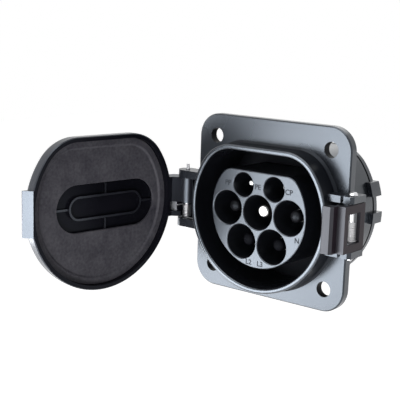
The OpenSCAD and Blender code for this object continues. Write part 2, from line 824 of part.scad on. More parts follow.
module lid_shell() {
    color("#1f2023") front() opened() union() {
        difference() {
            d_solid(concat([[skirt_out - rim_chamfer, lid_rim], [skirt_out, lid_rim + rim_chamfer]],
                arc([skirt_out - lid_round, lid_front - lid_round], lid_round, 0, 90)));
            d_solid([[skirt_in, lid_rim - past], [skirt_in, seal_back]]);
            level(seal_back - past, pocket_floor) translate(window_at) obround(window_l, window_w);
            upright(-tab_h / 2, tab_h / 2) polygon([[tab_out - tab_ramp - past, lid_rim - past],
                [tab_out + past, lid_rim + tab_ramp + past], [tab_out + past, lid_rim - past]]);
        }
        window_ribs();
        upright(-tab_h / 2, tab_h / 2) polygon([[tab_root, lid_rim], [tab_out - tab_ramp, lid_rim],
            [tab_out, lid_rim + tab_ramp], [tab_out, tab_front], [tab_root, tab_front]]);
        lid_arm();
    }
}

module lid_seal() {
    edge = skirt_in - seat_gap;
    color("#2a2a2d") front() opened() difference() {
        d_solid([[edge, seal_face], [edge, seal_back]]);
        d_solid([[seal_border_in + past, seal_face - past], [seal_border_in - seal_step, seal_middle]]);
        level(seal_face - past, seal_back + past) translate(window_at) obround(window_l, window_w);
    }
}

// Lever outline in x and z: tail, side plate, front bar and hooked nose
module lever_outline() {
    polygon([[plate_in, lever_back], [plate_out, lever_back], [plate_out, lever_front],
        [nose_out, lever_front], [nose_out, nose_front - nose_bevel], [nose_out - nose_bevel, nose_front],
        [nose_in + nose_edge, nose_front], [nose_in, nose_front - nose_edge], [hook_in, hook_catch],
        [bar_in, hook_catch], [bar_in, bar_back], [plate_in, bar_back]]);
}

module latch_lever() {
    color("#33312f") front() difference() {
        union() {
            upright(-lever_h / 2, lever_h / 2) lever_outline();
            for (span = [[lever_window_high + swing_gap, lever_h / 2], [-lever_h / 2, lever_window_low]])
                upright(span[0], span[1]) translate([latch_x, latch_front]) {
                    circle(lever_knuckle_r);
                    translate([0, -lever_knuckle_r])
                        square([plate_out - latch_x - knuckle_skin, 2 * lever_knuckle_r]);
                }
        }
        upright(lever_window_low, lever_window_high)
            translate([plate_in - past, bar_back - lever_window_l])
                square([lever_plate + 2 * past, lever_window_l]);
        upright(-lever_h / 2 - past, lever_h / 2 + past)
            translate([latch_x, latch_front]) circle(latch_pin_d / 2 + running_gap);
    }
}

housing();
flange_gasket();
contact_carrier();
line_1_pin();
line_2_pin();
line_3_pin();
neutral_pin();
earth_pin();
proximity_pin();
pilot_pin();
line_1_tip();
line_2_tip();
line_3_tip();
neutral_tip();
contact_retainer();
retainer_screws();
rear_seal_ring();
rear_cap();
outlet_grommet();
hinge_pin();
hinge_spring();
latch_pin();
latch_spring();
lid_shell();
lid_seal();
latch_lever();
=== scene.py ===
"""Charge port inlet: finishes, soft edges, markings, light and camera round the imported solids."""

import logging
import math
from collections.abc import Callable, Iterable
from dataclasses import dataclass, field
from enum import Enum

import bpy
from mathutils import Matrix, Vector
from mathutils.bvhtree import BVHTree


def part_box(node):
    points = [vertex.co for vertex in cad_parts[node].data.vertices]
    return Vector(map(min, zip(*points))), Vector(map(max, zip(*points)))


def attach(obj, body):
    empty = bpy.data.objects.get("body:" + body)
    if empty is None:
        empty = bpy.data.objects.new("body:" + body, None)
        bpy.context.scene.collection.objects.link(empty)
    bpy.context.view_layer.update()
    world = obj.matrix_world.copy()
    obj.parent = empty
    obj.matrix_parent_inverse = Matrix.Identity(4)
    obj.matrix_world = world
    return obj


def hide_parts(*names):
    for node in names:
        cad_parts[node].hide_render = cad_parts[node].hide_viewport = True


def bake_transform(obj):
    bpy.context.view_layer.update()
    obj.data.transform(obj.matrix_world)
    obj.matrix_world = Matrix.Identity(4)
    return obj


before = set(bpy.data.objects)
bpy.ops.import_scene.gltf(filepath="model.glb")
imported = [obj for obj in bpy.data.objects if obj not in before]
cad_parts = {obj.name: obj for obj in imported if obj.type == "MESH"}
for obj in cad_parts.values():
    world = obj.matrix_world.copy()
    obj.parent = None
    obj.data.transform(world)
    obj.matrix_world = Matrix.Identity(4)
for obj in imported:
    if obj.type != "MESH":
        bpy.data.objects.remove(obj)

Colour = tuple[float, float, float]
Face = bpy.types.MeshPolygon
FaceTest = Callable[[Face], bool]
Socket = bpy.types.NodeSocket

LOG = logging.getLogger("inlet")
MM = 0.001

# Clean-up and rounding of the copied meshes
MERGE_DISTANCE = 0.002 * MM
FLAT_ANGLE = math.radians(0.4)
SHARP_ANGLE = math.radians(32)
EDGE_SEGMENTS = 2
SHARP = 0.0

# Values between which most of a noise lies
NOISE_MIDDLE = (0.3, 0.7)

# Light, tint of the reflections, and colours that several finishes share
WHITE: Colour = (1.0, 1.0, 1.0)
COOL_LIGHT: Colour = (0.97, 0.98, 1.0)
WARM_LIGHT: Colour = (1.0, 0.97, 0.97)
COOL_SHEEN: Colour = (0.79, 0.885, 1.0)
SOFT_SHEEN: Colour = (0.87, 0.91, 1.0)
PLUM_SHEEN: Colour = (1.0, 0.86, 0.97)
SATIN_BLACK: Colour = (0.004, 0.0044, 0.0060)
GLOSS_BLACK: Colour = (0.004, 0.004, 0.006)
SHADE_BLACK: Colour = (0.003, 0.003, 0.004)
LID_BLACK: Colour = (0.008, 0.008, 0.011)


class Body(Enum):
    """Rigid bodies of the inlet that a piece can ride on."""

    HOUSING = "housing"
    LID = "lid"
    LATCH = "latch"


class Slot(Enum):
    """Material slots of the record."""

    HOUSING = "housing_plastic"
    INSERT = "insert_plastic"
    LID = "lid_plastic"
    LATCH = "latch_plastic"
    LID_SEAL = "lid_rubber"
    SEAL = "seal_rubber"
    CONTACT = "contact_silver"
    GUARD = "guard_plastic"
    SCREW = "screw_steel"
    SPRING = "spring_steel"


def opaque(colour: Colour) -> tuple[float, float, float, float]:
    """Adds full alpha to a colour."""
    return (*colour, 1.0)


def shaded(colour: Colour, change: float) -> Colour:
    """Lightens a colour by a share, or darkens it where the share is negative."""
    return tuple(part * (1 + change) for part in colour)


def direction(azimuth: float, elevation: float = 0.0) -> Vector:
    """Unit vector from the object towards a place round it.

    Args:
        azimuth: degrees to the right of straight ahead, seen from the front.
        elevation: degrees above the horizon.

    Returns:
        The direction in the part's frame.
    """
    turn, lift = math.radians(azimuth), math.radians(elevation)
    level = math.cos(lift)
    return Vector((math.sin(turn) * level, -math.cos(turn) * level, math.sin(lift)))


class Shader:
    """Builds the node tree of one material around a Principled shader."""

    def __init__(self, name: str) -> None:
        """Starts a material.

        Args:
            name: name of the material.
        """
        self.material = bpy.data.materials.new(name)
        self.material.use_nodes = True
        self.tree = self.material.node_tree
        self.principled = self.tree.nodes["Principled BSDF"]
        self.place = self.tree.nodes.new("ShaderNodeTexCoord").outputs["Object"]

    def node(self, kind: str, **settings: object) -> bpy.types.Node:
        """Adds a node and sets its properties.

        Args:
            kind: Blender's name of the node type.
            settings: properties of the node.

        Returns:
            The new node.
        """
        made = self.tree.nodes.new(kind)
        for name, value in settings.items():
            setattr(made, name, value)
        return made

    def join(self, output: Socket, target: Socket) -> None:
        """Links one socket to another."""
        self.tree.links.new(output, target)

    def set(self, **values: object) -> None:
        """Sets uniform values on the Principled shader's own sockets."""
        for name, value in values.items():
            self.principled.inputs[name.replace("_", " ")].default_value = value

    def feed(self, **outputs: Socket) -> None:
        """Links patterns to the Principled shader's sockets."""
        for name, output in outputs.items():
            self.join(output, self.principled.inputs[name.replace("_", " ")])

    def noise(self, size: float, detail: float) -> Socket:
        """Adds a noise pattern in object space.

        Args:
            size: size of its patches, in metres.
            detail: how many finer layers it has.

        Returns:
            The pattern's value socket.
        """
        made = self.node("ShaderNodeTexNoise")
        made.inputs["Scale"].default_value = 1.0 / size
        made.inputs["Detail"].default_value = detail
        self.join(self.place, made.inputs["Vector"])
        return made.outputs["Fac"]

    def spread(self, value: Socket, low: float = 0.0, high: float = 1.0) -> Socket:
        """Maps the middle of a noise onto a range.

        Args:
            value: noise socket.
            low: result where the noise is low.
            high: result where the noise is high.

        Returns:
            The mapped value's socket.
        """
        made = self.node("ShaderNodeMapRange")
        names = ("From Min", "From Max", "To Min", "To Max")
        for name, limit in zip(names, (*NOISE_MIDDLE, low, high)):
            made.inputs[name].default_value = limit
        self.join(value, made.inputs["Value"])
        return made.outputs["Result"]

    def mix(self, first: Socket, second: Socket, share: float) -> Socket:
        """Mixes two patterns.

        Args:
            first: value socket of one pattern.
            second: value socket of the other.
            share: share of the second, 0 to 1.

        Returns:
            The mixed value's socket.
        """
        made = self.node("ShaderNodeMix", data_type="FLOAT")
        made.inputs["Factor"].default_value = share
        self.join(first, made.inputs["A"])
        self.join(second, made.inputs["B"])
        return made.outputs["Result"]

    def blend(self, factor: Socket, low: Colour, high: Colour) -> Socket:
        """Mixes two colours by a factor.

        Args:
            factor: factor socket, 0 to 1.
            low: colour at 0.
            high: colour at 1.

        Returns:
            The mixed colour's socket.
        """
        made = self.node("ShaderNodeMix", data_type="RGBA")
        colours = [socket for socket in made.inputs if socket.type == "RGBA"]
        colours[0].default_value = opaque(low)
        colours[1].default_value = opaque(high)
        self.join(factor, made.inputs["Factor"])
        return [socket for socket in made.outputs if socket.type == "RGBA"][0]

    def bump(self, height: Socket, depth: float) -> None:
        """Gives the surface a fine relief.

        Args:
            height: pattern socket, 0 to 1.
            depth: depth of the relief, in metres.
        """
        made = self.node("ShaderNodeBump")
        made.inputs["Distance"].default_value = depth
        self.join(height, made.inputs["Height"])
        self.feed(Normal=made.outputs["Normal"])


@dataclass(frozen=True)
class MouldedPlastic:
    """Injection-moulded plastic with a spark-eroded grain and faint flow marks."""

    name: str
    colour: Colour
    roughness: float
    specular: float
    sheen: Colour = COOL_SHEEN
    grain_size: float = 0.35 * MM
    grain_depth: float = 0.002 * MM
    flow_size: float = 24 * MM
    detail: float = 2.0
    mottle: float = 0.25
    polish: float = 0.015

    def material(self) -> bpy.types.Material:
        """Builds the plastic.

        Returns:
            The material.
        """
        shader = Shader(self.name)
        flow = shader.noise(self.flow_size, self.detail)
        grain = shader.noise(self.grain_size, self.detail)
        darker, lighter = shaded(self.colour, -self.mottle), shaded(self.colour, self.mottle)
        low, high = self.roughness - self.polish, self.roughness + self.polish
        shader.feed(Base_Color=shader.blend(shader.spread(flow), darker, lighter),
                    Roughness=shader.spread(flow, low, high))
        shader.set(Specular_IOR_Level=self.specular, Specular_Tint=opaque(self.sheen))
        shader.bump(grain, self.grain_depth)
        return shader.material


@dataclass(frozen=True)
class Rubber:
    """Moulded rubber with a powdery bloom."""

    name: str
    colour: Colour
    bloom: Colour
    roughness: float = 0.62
    wear: float = 0.06
    specular: float = 0.22
    bloom_size: float = 9 * MM
    bloom_detail: float = 6.0
    speck_size: float = 1.3 * MM
    speck_detail: float = 3.0
    speck_share: float = 0.45
    grain_size: float = 0.5 * MM
    grain_detail: float = 2.0
    grain_depth: float = 0.006 * MM

    def material(self) -> bpy.types.Material:
        """Builds the rubber.

        Returns:
            The material.
        """
        shader = Shader(self.name)
        patches = shader.noise(self.bloom_size, self.bloom_detail)
        specks = shader.noise(self.speck_size, self.speck_detail)
        cover = shader.mix(patches, specks, self.speck_share)
        low, high = self.roughness - self.wear, self.roughness + self.wear
        shader.feed(Base_Color=shader.blend(shader.spread(cover), self.colour, self.bloom),
                    Roughness=shader.spread(patches, low, high))
        shader.set(Specular_IOR_Level=self.specular)
        shader.bump(shader.noise(self.grain_size, self.grain_detail), self.grain_depth)
        return shader.material


@dataclass(frozen=True)
class TurnedMetal:
    """Metal with a haze of tarnish and fine marks from turning or drawing."""

    name: str
    colour: Colour
    roughness: float
    haze_size: float = 2.5 * MM
    haze_detail: float = 4.0
    stain: float = 0.12
    brighter: float = 0.04
    duller: float = 0.08
    mark_size: float = 0.22 * MM
    mark_depth: float = 0.004 * MM
    mark_waver: float = 1.5

    def material(self) -> bpy.types.Material:
        """Builds the metal.

        Returns:
            The material.
        """
        shader = Shader(self.name)
        haze = shader.noise(self.haze_size, self.haze_detail)
        darker = shaded(self.colour, -self.stain)
        low, high = self.roughness - self.brighter, self.roughness + self.duller
        shader.feed(Base_Color=shader.blend(shader.spread(haze), darker, self.colour),
                    Roughness=shader.spread(haze, low, high))
        shader.set(Metallic=1.0)
        marks = shader.node("ShaderNodeTexWave", wave_type="BANDS", bands_direction="Y")
        marks.inputs["Scale"].default_value = 1.0 / self.mark_size
        marks.inputs["Distortion"].default_value = self.mark_waver
        shader.join(shader.place, marks.inputs["Vector"])
        shader.bump(marks.outputs["Fac"], self.mark_depth)
        return shader.material


Finish = MouldedPlastic | Rubber | TurnedMetal


@dataclass(frozen=True)
class Finishes:
    """All finishes of the inlet, among them lit and shaded copies of one plastic that paint
    highlights and shade.
    """

    housing: Finish = MouldedPlastic("housing_satin", SATIN_BLACK, roughness=0.27, specular=0.68)
    # Painted shade: the groove's floor and the mounting holes are darker and barely reflect.
    groove: Finish = MouldedPlastic("groove_painted_shade", SHADE_BLACK, roughness=0.55, specular=0.08)
    # Painted shade: the collar's outer wall reflects much less than the rest of the housing.
    collar: Finish = MouldedPlastic(
        "collar_painted_shade", (0.004, 0.0045, 0.0065), roughness=0.36, specular=0.2)
    # Painted highlight: the collar's front rim reflects more than the rest of the housing.
    rim: Finish = MouldedPlastic("rim_painted_highlight", SATIN_BLACK, roughness=0.27, specular=1.0)
    insert: Finish = MouldedPlastic("insert_satin", SATIN_BLACK, roughness=0.30, specular=0.78)
    # Painted shade: the lid's inside and its hidden faces are darker and reflect far less than its
    # outside.
    lid: Finish = MouldedPlastic("lid_painted_shade", GLOSS_BLACK, roughness=0.20, specular=0.10)
    lid_outside: Finish = MouldedPlastic("lid_satin", LID_BLACK, roughness=0.22, specular=0.66)
    # Painted highlight: the hinge barrel reflects more than the rest of the lid.
    barrel: Finish = MouldedPlastic("barrel_painted_highlight", LID_BLACK, roughness=0.42, specular=1.0)
    # Painted light: a grey colour on the front of the bracket's block, which sits in a shaded
    # recess.
    block: Finish = MouldedPlastic(
        "block_painted_light", (0.24, 0.245, 0.26), roughness=0.5, specular=0.4)
    # Painted shade: the slanted front of the bracket's arm reflects little.
    arm: Finish = MouldedPlastic("arm_painted_shade", GLOSS_BLACK, roughness=0.11, specular=0.10)
    lid_face: Finish = MouldedPlastic(
        "lid_textured", (0.009, 0.009, 0.012), roughness=0.42, specular=0.42,
        grain_size=0.6 * MM, grain_depth=0.012 * MM)
    latch: Finish = MouldedPlastic(
        "latch_satin", (0.011, 0.010, 0.012), roughness=0.34, specular=0.38, sheen=SOFT_SHEEN)
    # Painted shade: the lever's right side is darker, reflects less and has a plum tint in its
    # reflections.
    latch_side: Finish = MouldedPlastic(
        "latch_side_painted_shade", (0.010, 0.006, 0.009), roughness=0.36, specular=0.13, sheen=PLUM_SHEEN)
    guard: Finish = MouldedPlastic(
        "guard_black", (0.006, 0.006, 0.007), roughness=0.34, specular=0.14)
    # Painted shade: two of the guards are darker and barely reflect, so they show no highlight.
    guard_shaded: Finish = MouldedPlastic("guard_painted_shade", SHADE_BLACK, roughness=0.6, specular=0.04)
    lid_seal: Finish = Rubber(
        "lid_seal_charcoal", (0.016, 0.015, 0.021), bloom=(0.056, 0.054, 0.062))
    seal: Finish = Rubber("seal_black", (0.016, 0.016, 0.017), bloom=(0.028, 0.028, 0.030))
    contact: Finish = TurnedMetal("contact_silvered", (0.40, 0.40, 0.39), roughness=0.34)
    # Painted shade: the pins' sides and the guarded pins are a darker metal than the bare tips.
    contact_side: Finish = TurnedMetal("contact_painted_shade", (0.24, 0.24, 0.235), roughness=0.36)
    screw: Finish = TurnedMetal("screw_bright", (0.66, 0.66, 0.68), roughness=0.30)
    spring: Finish = TurnedMetal("spring_drawn", (0.62, 0.62, 0.63), roughness=0.38)
    marking: Finish = MouldedPlastic(
        "marking_dark", (0.012, 0.013, 0.016), roughness=0.55, specular=0.2)


class Workshop:
    """Makes finished pieces from CAD nodes and from new meshes."""

    def __init__(self, finishes: Finishes) -> None:
        """Keeps the finishes and their materials.

        Args:
            finishes: the finishes to choose from.
        """
        self.finishes = finishes
        self.materials: dict[str, bpy.types.Material] = {}

    def material(self, finish: Finish) -> bpy.types.Material:
        """Builds a finish's material once.

        Args:
            finish: one of the finishes.

        Returns:
            Its material.
        """
        if finish.name not in self.materials:
            self.materials[finish.name] = finish.material()
        return self.materials[finish.name]

    @staticmethod
    def activate(piece: bpy.types.Object) -> None:
        """Selects one object alone and makes it active.

        Args:
            piece: the object to work on.
        """
        bpy.ops.object.select_all(action="DESELECT")
        piece.select_set(True)
        bpy.context.view_layer.objects.active = piece

    def copy_of(self, node: str, name: str) -> bpy.types.Object:
        """Copies a CAD node and merges its loose triangles into clean faces.

        Args:
            node: name of the CAD node.
            name: name of the new piece.

        Returns:
            The new object.
        """
        piece = bpy.data.objects.new(name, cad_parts[node].data.copy())
        bpy.context.scene.collection.objects.link(piece)
        self.activate(piece)
        bpy.ops.object.mode_set(mode="EDIT")
        bpy.ops.mesh.customdata_custom_splitnormals_clear()
        bpy.ops.mesh.select_all(action="SELECT")
        bpy.ops.mesh.remove_doubles(threshold=MERGE_DISTANCE)
        bpy.ops.mesh.dissolve_limited(angle_limit=FLAT_ANGLE)
        bpy.ops.object.mode_set(mode="OBJECT")
        return piece

    def round_edges(self, piece: bpy.types.Object, radius: float) -> None:
        """Rounds the sharp edges of a piece and shades it smooth.

        Args:
            piece: the object to shape.
            radius: radius of the rounding, in metres; SHARP leaves the edges as they are.
        """
        self.activate(piece)
        if radius > SHARP:
            bevel = piece.modifiers.new("edge", "BEVEL")
            bevel.width = radius
            bevel.segments = EDGE_SEGMENTS
            bevel.limit_method = "ANGLE"
            bevel.angle_limit = SHARP_ANGLE
            bevel.miter_outer = "MITER_ARC"
            bpy.ops.object.modifier_apply(modifier=bevel.name)
        bpy.ops.object.shade_smooth_by_angle(angle=SHARP_ANGLE)
        weight = piece.modifiers.new("normals", "WEIGHTED_NORMAL")
        weight.keep_sharp = True
        bpy.ops.object.modifier_apply(modifier=weight.name)

    def stand_in(self, node: str, radius: float) -> bpy.types.Object:
        """Replaces a CAD node by a copy of its form with soft edges.

        Args:
            node: name of the CAD node.
            radius: radius of its edges, in metres.

        Returns:
            The new object.
        """
        piece = self.copy_of(node, node + "_finished")
        self.round_edges(piece, radius)
        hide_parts(node)
        return piece

    def paint(self, piece: bpy.types.Object, finish: Finish) -> None:
        """Gives a piece its finish.

        Args:
            piece: the finished object.
            finish: one of the finishes.
        """
        piece.data.materials.clear()
        piece.data.materials.append(self.material(finish))
        LOG.info("%s: %d faces", piece.name, len(piece.data.polygons))

    def dress(self, piece: bpy.types.Object, finish: Finish, body: Body) -> None:
        """Gives a piece its finish and body.

        Args:
            piece: the finished object.
            finish: one of the finishes.
            body: body that carries the piece.
        """
        self.paint(piece, finish)
        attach(piece, body.value)

    def second_finish(self, piece: bpy.types.Object, finish: Finish, chosen: FaceTest) -> None:
        """Gives some faces of a piece another finish.

        Args:
            piece: the dressed object.
            finish: one of the finishes.
            chosen: tells which faces get it.
        """
        piece.data.materials.append(self.material(finish))
        for face in piece.data.polygons:
            if chosen(face):
                face.material_index = len(piece.data.materials) - 1

    def softened(self, node: str, radius: float, finish: Finish,
                 body: Body) -> bpy.types.Object:
        """Replaces a CAD node by a soft-edged, dressed copy that rides on a body.

        Args:
            node: name of the CAD node.
            radius: radius of its edges, in metres.
            finish: one of the finishes.
            body: body that carries the piece.

        Returns:
            The new object.
        """
        piece = self.stand_in(node, radius)
        self.dress(piece, finish, body)
        return piece

    def wound(self, node: str, finish: Finish) -> None:
        """Replaces a spring by a smooth-shaded copy with its finish, its place baked into its mesh.

        Args:
            node: name of the CAD node.
            finish: one of the finishes.
        """
        piece = self.stand_in(node, SHARP)
        self.paint(piece, finish)
        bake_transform(piece)


@dataclass
class Housing:
    """Housing with its flange, collar and ears, and the gasket behind the flange."""

    edge: float = 0.3 * MM
    groove_depth: float = 12 * MM
    groove_reach: float = 35.5 * MM
    hole_at: float = 31.55 * MM
    hole_reach: float = 4 * MM
    collar_reach: float = 38.7 * MM
    collar_span: tuple[float, float] = (-14.3 * MM, -4.1 * MM)
    facing: float = 0.5
    fillet_facing: float = 0.8

    def in_shade(self, face: Face) -> bool:
        """Tells whether a face is on the groove's floor or in a mounting hole.

        Args:
            face: one face of the housing.

        Returns:
            Whether it takes the painted shade.
        """
        middle = face.center
        off_hole = math.hypot(abs(middle.x) - self.hole_at, abs(middle.z) - self.hole_at)
        if off_hole < self.hole_reach:
            return abs(face.normal.y) < self.facing
        near = math.hypot(middle.x, middle.z) < self.groove_reach
        return near and middle.y > self.groove_depth and face.normal.y < -self.facing

    def on_collar(self, face: Face) -> bool:
        """Tells whether a face is on the outer wall of the collar.

        Args:
            face: one face of the housing.

        Returns:
            Whether it takes the collar's painted shade.
        """
        middle, normal = face.center, face.normal
        low, high = self.collar_span
        if not low < middle.y < high or math.hypot(middle.x, middle.z) > self.collar_reach:
            return False
        outward = normal.x * middle.x + normal.z * middle.z > 0
        return outward and normal.y > -self.fillet_facing

    def on_rim(self, face: Face) -> bool:
        """Tells whether a face is on the front rim of the collar.

        Args:
            face: one face of the housing.

        Returns:
            Whether it takes the rim's painted highlight.
        """
        middle = face.center
        inside = math.hypot(middle.x, middle.z) < self.collar_reach
        return inside and middle.y < self.collar_span[0] and face.normal.y < -self.facing

    def build(self, shop: Workshop) -> None:
        """Builds and dresses the pieces.

        Args:
            shop: maker of pieces.
        """
        looks = shop.finishes
        shell = shop.softened("housing", self.edge, looks.housing, Body.HOUSING)
        # The groove's floor and the mounting holes get painted shade.
        shop.second_finish(shell, looks.groove, self.in_shade)
        # The collar's outer wall gets painted shade.
        shop.second_finish(shell, looks.collar, self.on_collar)
        # The collar's front rim gets a painted highlight.
        shop.second_finish(shell, looks.rim, self.on_rim)
        shop.softened("flange_gasket", SHARP, looks.seal, Body.HOUSING)


@dataclass
class Insert:
    """Contact carrier with its pins, touch guards, retainer and screws."""

    edge: float = 0.2 * MM
    pin_edge: float = 0.25 * MM
    guarded: tuple[str, ...] = ("line_1", "line_2", "line_3", "neutral")
    bare: tuple[str, ...] = ("earth", "proximity", "pilot")
    # Guards that get painted shade.
    shaded_guards: tuple[str, ...] = ("line_2", "line_3")
    tip_facing: float = 0.8

    def on_side(self, face: Face) -> bool:
        """Tells whether a face is beside the flat tip of a pin."""
        return face.normal.y > -self.tip_facing

    def build(self, shop: Workshop) -> None:
        """Builds and dresses the pieces.

        Args:
            shop: maker of pieces.
        """
        looks, body = shop.finishes, Body.HOUSING
        shop.softened("contact_carrier", self.edge, looks.insert, body)
        shop.softened("contact_retainer", self.edge, looks.insert, body)
        shop.softened("retainer_screws", self.edge, looks.screw, body)
        for name in self.guarded:
            # The guarded pins take the darker metal as painted shade.
            shop.softened(name + "_pin", self.pin_edge, looks.contact_side, body)
        for name in self.bare:
            pin = shop.softened(name + "_pin", self.pin_edge, looks.contact, body)
            # The sides of the bare pins get painted shade.
            shop.second_finish(pin, looks.contact_side, self.on_side)
        for name in self.guarded:
            # Two of the guards get painted shade instead of the plain black.
            finish = looks.guard_shaded if name in self.shaded_guards else looks.guard
            shop.softened(name + "_tip", self.pin_edge, finish, body)


@dataclass
class Rear:
    """Rear cap with its ring seal and cable grommet."""

    edge: float = 0.35 * MM

    def build(self, shop: Workshop) -> None:
        """Builds and dresses the pieces.

        Args:
            shop: maker of pieces.
        """
        looks = shop.finishes
        shop.softened("rear_cap", self.edge, looks.housing, Body.HOUSING)
        shop.softened("rear_seal_ring", SHARP, looks.seal, Body.HOUSING)
        shop.softened("outlet_grommet", self.edge, looks.seal, Body.HOUSING)


@dataclass
class Lid:
    """Hinged lid with its seal, hinge pin and hinge spring, as it stands open."""

    edge: float = 0.25 * MM
    seal_edge: float = 0.3 * MM
    pin_edge: float = 0.1 * MM
    spring_end: float = 0.66 * MM
    inside_azimuth: float = 81.0
    inside_lean: float = 44.4
    flat: float = 0.9
    clear: float = 0.01 * MM
    hinge: tuple[float, float] = (-45.8 * MM, -8 * MM)
    hinge_reach: float = 2.75 * MM
    hinge_room: float = 12 * MM
    rib_depth: tuple[float, float] = (3.5 * MM, 5.2 * MM)
    bracket_reach: float = 9 * MM
    arm_azimuth: float = 37.7
    block_azimuth: float = -9.0

    def from_hinge(self, face: Face) -> float:
        """Distance of a face's middle from the hinge's axis."""
        return math.hypot(face.center.x - self.hinge[0], face.center.y - self.hinge[1])

    def on_barrel(self, face: Face) -> bool:
        """Tells whether a face is on the hinge barrel."""
        return self.from_hinge(face) < self.hinge_reach

    def on_bracket(self, face: Face, azimuth: float) -> bool:
        """Tells whether a face near the hinge looks one way.

        Args:
            face: one face of the lid.
            azimuth: the way it looks, in degrees.

        Returns:
            Whether the face is on the bracket and looks that way.
        """
        near = self.hinge_reach < self.from_hinge(face) < self.bracket_reach
        return near and face.normal.dot(direction(azimuth)) > self.flat

    def on_arm(self, face: Face) -> bool:
        """Tells whether a face is on the slanted front of the bracket's arm."""
        return self.on_bracket(face, self.arm_azimuth)

    def on_block(self, face: Face) -> bool:
        """Tells whether a face is on the front of the bracket's block."""
        return self.on_bracket(face, self.block_azimuth)

    def on_face(self, face: Face) -> bool:
        """Tells whether a face is on the flat outer face of the lid."""
        return face.normal.dot(direction(self.inside_azimuth)) < -self.flat

    def looks_out(self, shell: bpy.types.Object) -> FaceTest:
        """Makes the test for the lid's outside and the fronts of its ribs.

        Args:
            shell: the lid's shell.

        Returns:
            A test of one face.
        """
        inside = direction(self.inside_azimuth)
        least = math.cos(math.radians(self.inside_lean))
        tree = BVHTree.FromPolygons([corner.co for corner in shell.data.vertices],
                                    [tuple(face.vertices) for face in shell.data.polygons])
        rim = max(corner.co.dot(inside) for corner in shell.data.vertices
                  if corner.co.y < self.hinge[1] - self.hinge_room)
        low, high = self.rib_depth

        def chosen(face: Face) -> bool:
            """Tells whether a face takes the outer finish.

            Args:
                face: one face of the lid.

            Returns:
                Whether it is the front of a rib, or looks out with nothing before it.
            """
            # Faces that look into the lid or have the shell before them keep the painted shade; rib
            # fronts get a painted highlight.
            middle, facing = face.center, face.normal.dot(inside)
            if facing >= least:
                return facing > self.flat and low < rim - middle.dot(inside) < high
            return tree.ray_cast(middle + face.normal * self.clear, face.normal)[0] is None

        return chosen

    def build(self, shop: Workshop) -> None:
        """Builds and dresses the pieces.

        Args:
            shop: maker of pieces.
        """
        looks = shop.finishes
        # The shell starts with the painted shade of its inside; the lit outside and rib fronts
        # follow.
        shell = shop.softened("lid_shell", self.edge, looks.lid, Body.LID)
        shop.second_finish(shell, looks.lid_outside, self.looks_out(shell))
        shop.second_finish(shell, looks.lid_face, self.on_face)
        # The hinge barrel gets a painted highlight.
        shop.second_finish(shell, looks.barrel, self.on_barrel)
        # The slanted front of the bracket's arm gets painted shade.
        shop.second_finish(shell, looks.arm, self.on_arm)
        # The front of the bracket's block gets painted light.
        shop.second_finish(shell, looks.block, self.on_block)
        shop.softened("lid_seal", self.seal_edge, looks.lid_seal, Body.LID)
        shop.softened("hinge_pin", self.pin_edge, looks.screw, Body.HOUSING)
        shop.wound("hinge_spring", looks.spring)


@dataclass
class Latch:
    """Latch lever with its pin and spring."""

    edge: float = 0.25 * MM
    pin_edge: float = 0.15 * MM
    facing: float = 0.8

    def on_side(self, face: Face) -> bool:
        """Tells whether a face is on the right side of the lever."""
        return face.normal.x > self.facing

    def build(self, shop: Workshop) -> None:
        """Builds and dresses the pieces.

        Args:
            shop: maker of pieces.
        """
        looks = shop.finishes
        lever = shop.softened("latch_lever", self.edge, looks.latch, Body.LATCH)
        # The lever's right side gets painted shade.
        shop.second_finish(lever, looks.latch_side, self.on_side)
        shop.softened("latch_pin", self.pin_edge, looks.screw, Body.HOUSING)
        shop.softened("latch_spring", SHARP, looks.spring, Body.HOUSING)


@dataclass
class Markings:
    """Raised terminal letters on the insert's face."""

    height: float = 3.4 * MM
    relief: float = 0.08 * MM
    lift: float = 0.02 * MM
    weight: float = 0.06 * MM
    places: dict[str, tuple[float, float]] = field(default_factory=lambda: {
        "PP": (-17.1 * MM, 11.7 * MM),
        "PE": (-0.2 * MM, 11.7 * MM),
        "CP": (16.7 * MM, 11.6 * MM),
        "N": (22.1 * MM, -9.5 * MM),
        "L2": (-3.7 * MM, -23.8 * MM),
        "L3": (2.7 * MM, -23.8 * MM),
    })

    def build(self, shop: Workshop) -> None:
        """Builds the letters on the insert's front face.

        Args:
            shop: maker of pieces.
        """
        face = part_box("contact_carrier")[0].y
        for text, (x, z) in self.places.items():
            bpy.ops.object.select_all(action="DESELECT")
            bpy.ops.object.text_add()
            letters = bpy.context.object
            letters.name = "marking_" + text.lower()
            letters.data.body = text
            letters.data.size = self.height
            letters.data.align_x = "CENTER"
            letters.data.align_y = "CENTER"
            letters.data.extrude = self.relief / 2
            letters.data.offset = self.weight
            bpy.ops.object.convert(target="MESH")
            letters.location = (x, face - self.lift, z)
            letters.rotation_euler = (math.pi / 2, 0, 0)
            bpy.ops.object.transform_apply(location=True, rotation=True, scale=True)
            shop.dress(letters, shop.finishes.marking, Body.HOUSING)


@dataclass(frozen=True)
class Panel:
    """Soft light panel that faces the object."""

    name: str
    azimuth: float
    elevation: float
    distance: float
    width: float
    height: float
    radiance: float
    colour: Colour = WHITE

    def build(self) -> None:
        """Adds the panel as an area light."""
        data = bpy.data.lights.new(self.name, "AREA")
        data.shape = "RECTANGLE"
        data.size = self.width
        data.size_y = self.height
        data.energy = self.radiance * math.pi * self.width * self.height
        data.color = self.colour
        lamp = bpy.data.objects.new(self.name, data)
        bpy.context.scene.collection.objects.link(lamp)
        away = direction(self.azimuth, self.elevation)
        lamp.location = away * self.distance
        lamp.rotation_euler = away.to_track_quat("Z", "Y").to_euler()
        lamp.visible_camera = False


